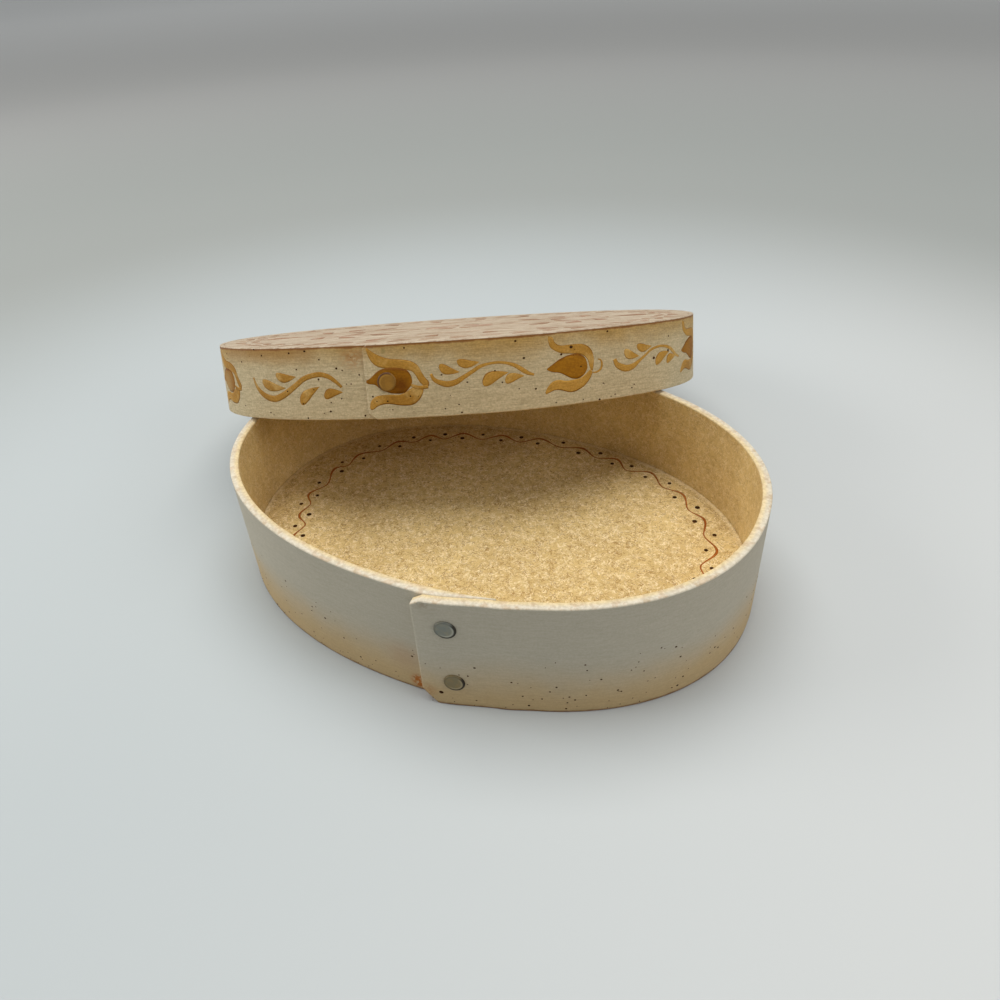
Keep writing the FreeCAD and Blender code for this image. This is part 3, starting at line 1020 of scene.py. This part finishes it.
def spatter(strip, marks, count, reach_up, least, most, rng):
    """Small dark drops: the marked ones, and others that are thicker towards the lower edge."""
    drops = Shape()
    marks = list(marks)
    for _ in range(count):
        distance = rng.random() * oval_round
        height = speck_margin + (reach_up - 2 * speck_margin) * rng.random() ** 1.5
        marks.append((distance, height, least + (most - least) * rng.random() ** 3))
    for distance, height, radius in marks:
        here, along, outward = strip.axes(distance, height)
        long_side = 1.0 + 0.4 * rng.random()
        paint_dot(drops, here, along * long_side, (0.0, 0.0, 1.0), outward, radius, speck_rise, sides=10)
    return drops


spatter(box, box_marks, *box_spatter, rng).make("box_specks", "box", "brown_paint", [dark_brown])
spatter(lid, lid_marks, *lid_spatter, rng).make("lid_specks", "lid", "brown_paint", [dark_brown])


# The wavy border on the floor of the box

# Dots along the border, by distance along the wall and depth inside it. They lie on the
# two sides of the wavy line by turns.
seen_dots = [
    (3.3, 18.0), (13.2, 12.9), (26.5, 14.6), (37.1, 9.1), (49.2, 13.0), (57.6, 7.1), (69.2, 10.5),
    (78.3, 5.1), (89.3, 8.7), (99.2, 5.7), (107.7, 9.0), (116.6, 4.5), (125.9, 8.8), (136.0, 3.9),
    (147.1, 8.8), (156.6, 6.3), (165.7, 11.1), (176.0, 8.0), (186.0, 12.0), (195.6, 8.8), (203.2, 13.5),
    (212.2, 9.8), (220.8, 15.7), (231.8, 12.0), (245.1, 17.5), (257.0, 13.2), (263.7, 18.5), (278.7, 15.1),
    (290.2, 19.3), (299.5, 14.5), (310.0, 19.5), (319.3, 14.1), (328.9, 16.6),
]
unseen_dots = 21
unseen_depths = [(0.0, 14.0), (0.3, 11.5), (0.6, 11.0), (1.0, 15.5)]   # by share of the unseen stretch
dot_wander = (0.8, 0.3)      # along the wall and inward
dot_radii = (0.8, 1.1)
thin_line = 0.55             # the least width of the line, which swells to twice that
dot_reach = 2.3              # from the middle of the border to a dot
line_reach = 4.1             # from a dot to the line
line_run = 90                # steps of the line in each of its skins


def border_marks(rng):
    """All the dots in turn: those that were seen, and more like them along the front."""
    marks = list(seen_dots)
    first = seen_dots[-1][0]
    gap = seen_dots[0][0] + oval_round - first
    shares, depths = zip(*unseen_depths)
    for number in range(1, unseen_dots + 1):
        share = number / (unseen_dots + 1)
        side = -1.0 if number % 2 else 1.0
        depth = float(np.interp(share, shares, depths)) + side * dot_reach
        along = first + gap * share + rng.uniform(-dot_wander[0], dot_wander[0])
        marks.append((along, depth + rng.uniform(-dot_wander[1], dot_wander[1])))
    return marks


def paint_border(rng):
    line = Shape()
    dots = Shape()
    marks = border_marks(rng)
    knots = [(distance, depth - line_reach if number % 2 == 0 else depth + line_reach)
             for number, (distance, depth) in enumerate(marks)]
    knots.append((knots[0][0] + oval_round, knots[0][1]))
    middles = []
    widths = []
    for number, ((start, depth), (end, next_depth)) in enumerate(zip(knots, knots[1:])):
        share = np.linspace(0.0, 1.0, 20, endpoint=False)
        inside = depth + (next_depth - depth) * smooth(share)
        middles.append(on_oval(start + (end - start) * share, -inside))
        heavy = share if number % 2 else 1.0 - share
        widths.append(thin_line + thin_line * smooth(heavy) ** 2 + 0.05 * np.sin(9.0 * share + number))
    middle = np.concatenate(middles + [middles[0][:1]])
    width = np.concatenate(widths + [widths[0][:1]])
    ahead = np.gradient(middle, axis=0)
    ahead[0] = ahead[-1] = middle[1] - middle[-2]
    ahead /= np.hypot(*ahead.T)[:, None]
    across = np.stack([-ahead[:, 1], ahead[:, 0]], 1)
    edges = [middle + side * across * width[:, None] / 2 for side in (1.0, -1.0)]
    for first in range(0, len(middle) - 1, line_run):
        run = [edge[first:first + line_run + 1] for edge in edges]
        lay(line, level_face(bottom_thickness), run, rows=2)
    for distance, depth in marks:
        x, y = on_oval(np.array(distance), np.array(-depth))
        radius = rng.uniform(*dot_radii)
        paint_dot(dots, (x, y, bottom_thickness), (1, 0, 0), (0, 1, 0), (0, 0, 1), radius, dot_rise)
    line.make("floor_border_line", "box", "ochre_paint", [border_paint])
    dots.make("floor_border_dots", "box", "brown_paint", [dark_brown])


paint_border(rng)


# A plain folk spray on the top of the lid

# Places on the board are given for one quarter and turned over to the others. A leaf is
# its round end, its tip and its width.
rosette_petals = 8
rosette_root = 4.0
rosette_reach = (17.0, 13.0)
petal_width = 6.0
side_stem = ((18.0, 0.0), (32.0, 12.0), (50.0, 15.0), (66.0, 6.0), (70.0, 0.5))
side_stem_widths = (1.0, 2.6, 3.0, 2.2, 0.8)
side_leaves = (
    ((30.0, 24.0), (40.0, 14.0), 5.0), ((46.0, 29.0), (52.0, 17.0), 5.0),
    ((62.0, 24.0), (60.0, 12.0), 4.5), ((44.0, 3.0), (53.0, 10.0), 4.0),
)
end_leaf = ((88.0, 0.0), (72.0, 0.0), 8.0)
front_stem = ((-24.0, 44.0), (-12.0, 36.0), (0.0, 40.0), (12.0, 36.0), (24.0, 44.0))
front_stem_widths = (0.8, 2.4, 2.6, 2.4, 0.8)
front_leaves = [((1.25 * x, 56.0), (x, 46.0), 4.5) for x in (-30.0, -10.0, 10.0, 30.0)]

# Rows of leaves along its edge: how far inside it, how far apart, how much they turn in,
# and their width
lid_garlands = ((5.0, 12.0, 3.5, 3.0), (13.5, 12.0, -3.0, 2.8))
garland_leaf = 0.75          # the length of such a leaf, as a share of the gap


def flipped(points, side, flip):
    return [(side * x, flip * y) for x, y in points]


def paint_lid_top(rng):
    strokes = Shape()
    leaves = Shape()

    def touch(shape, edges, coat=first_coat):
        lay(shape, level_face(lid_face), edges, coat, rows=4)

    for number in range(rosette_petals):
        angle = 2 * math.pi * (number + 0.5) / rosette_petals
        ahead = np.array([math.cos(angle), math.sin(angle)])
        touch(strokes, leaf_edges(ahead * rosette_reach, ahead * rosette_root, petal_width, 1, rng))
    for side in (-1.0, 1.0):
        for flip in (-1.0, 1.0):
            touch(strokes, widened(through(flipped(side_stem, side, flip), 60), side_stem_widths, rng))
            for round_end, tip, width in side_leaves:
                ends = flipped((round_end, tip), side, flip)
                touch(leaves, leaf_edges(*ends, width, side * flip, rng))
        round_end, tip, width = end_leaf
        touch(leaves, leaf_edges(*flipped((round_end, tip), side, 1.0), width, 1, rng), second_coat)
    for flip in (-1.0, 1.0):
        touch(strokes, widened(through(flipped(front_stem, 1.0, flip), 50), front_stem_widths, rng))
        for round_end, tip, width in front_leaves:
            touch(leaves, leaf_edges(*flipped((round_end, tip), 1.0, flip), width, 1, rng))
    for inset, gap, lean_in, width in lid_garlands:
        count = round(oval_round / gap)
        for number in range(count):
            distance = number * oval_round / count
            round_end = on_oval(np.array(distance), np.array(top_edge - inset))
            tip = on_oval(np.array(distance + garland_leaf * gap), np.array(top_edge - inset - lean_in))
            touch(strokes if number % 2 else leaves, leaf_edges(round_end, tip, width, 1, rng))
    strokes.make("lid_top_strokes", "lid", "brown_paint", [rose])
    leaves.make("lid_top_leaves", "lid", "brown_paint", [russet])


paint_lid_top(rng)


# Floor, light and camera

def pale_floor():
    mesh = bpy.data.meshes.new("floor")
    reach = 4.0   # metres
    mesh.from_pydata([(-reach, -reach, 0), (reach, -reach, 0), (reach, reach, 0), (-reach, reach, 0)], [],
                     [(0, 1, 2, 3)])
    floor = bpy.data.objects.new("floor", mesh)
    bpy.context.scene.collection.objects.link(floor)
    material, tree = finish("floor_with_painted_shade", 0.75, 0.2)
    place = node(tree, "TexCoord", output="Object")
    away = place.measure("LENGTH")
    # Painted shade on the floor: darker to the left, and in a band from 0.2 to 1.2 m away, for how the
    # light falls over it; lighter beyond that
    colour = place.part("X").step(-0.1, 0.25).mix(srgb(181, 187, 188), srgb(198, 200, 199))
    for low, high, further in ((0.2, 0.5, srgb(153, 156, 153)), (0.6, 1.2, srgb(170, 170, 168)),
                               (1.2, 2.6, srgb(238, 238, 236))):
        colour = away.step(low, high).mix(colour, further)
    dressed(material, colour)
    mesh.materials.append(material)


def soft_light():
    world = bpy.data.worlds.new("studio")
    bpy.context.scene.world = world
    world.use_nodes = True
    tree = world.node_tree
    ground = tree.nodes["Background"]
    ground.inputs["Color"].default_value = (0.95, 0.98, 1.0, 1.0)
    ground.inputs["Strength"].default_value = 0.32
    seen = node(tree, "Background", {"Color": srgb(190, 194, 194), "Strength": 1.0})
    shown = node(tree, "LightPath", output="Is Camera Ray")
    for ray in ("Is Glossy Ray", "Is Transmission Ray"):
        shown = shown.math("MAXIMUM", node(tree, "LightPath", output=ray))
    both = node(tree, "MixShader", {0: shown, 1: Field(ground.outputs[0]), 2: seen})
    tree.links.new(both.socket, tree.nodes["World Output"].inputs[0])
    lamps = (
        ("overhead", (-0.12, 0.24, 1.28), 1.15, 15.6, (1.0, 0.99, 0.97)),
        ("side", (1.25, -0.1, 0.8), 0.7, 4.4, (1.0, 0.98, 0.95)),
        ("left", (-1.25, -0.5, 0.62), 0.8, 9.0, (1.0, 0.99, 0.96)),
    )
    for name, place, size, power, colour in lamps:
        data = bpy.data.lights.new(name, "AREA")
        data.size = size
        data.energy = power
        data.color = colour
        lamp = bpy.data.objects.new(name, data)
        lamp.location = place
        lamp.rotation_euler = (-Vector(place)).to_track_quat("-Z", "Y").to_euler()
        bpy.context.scene.collection.objects.link(lamp)


camera_place = (122.2, -218.65, 214.28)
camera_turn = 28.33
camera_pitch = 37.17
camera_roll = -3.41
camera_lens = 28.8


def set_camera():
    data = bpy.data.cameras.new("camera")
    data.sensor_width = 36.0
    data.lens = camera_lens
    data.clip_start = 0.01
    camera = bpy.data.objects.new("camera", data)
    turned = Matrix.Rotation(math.radians(camera_turn), 4, "Z")
    pitched = turned @ Matrix.Rotation(math.radians(90.0 - camera_pitch), 4, "X")
    rolled = pitched @ Matrix.Rotation(math.radians(camera_roll), 4, "Z")
    camera.matrix_world = Matrix.Translation(Vector(camera_place) * MM) @ rolled
    bpy.context.scene.collection.objects.link(camera)
    bpy.context.scene.camera = camera


pale_floor()
soft_light()
set_camera()
bpy.context.scene.view_settings.view_transform = "Standard"

bpy.context.view_layer.update()
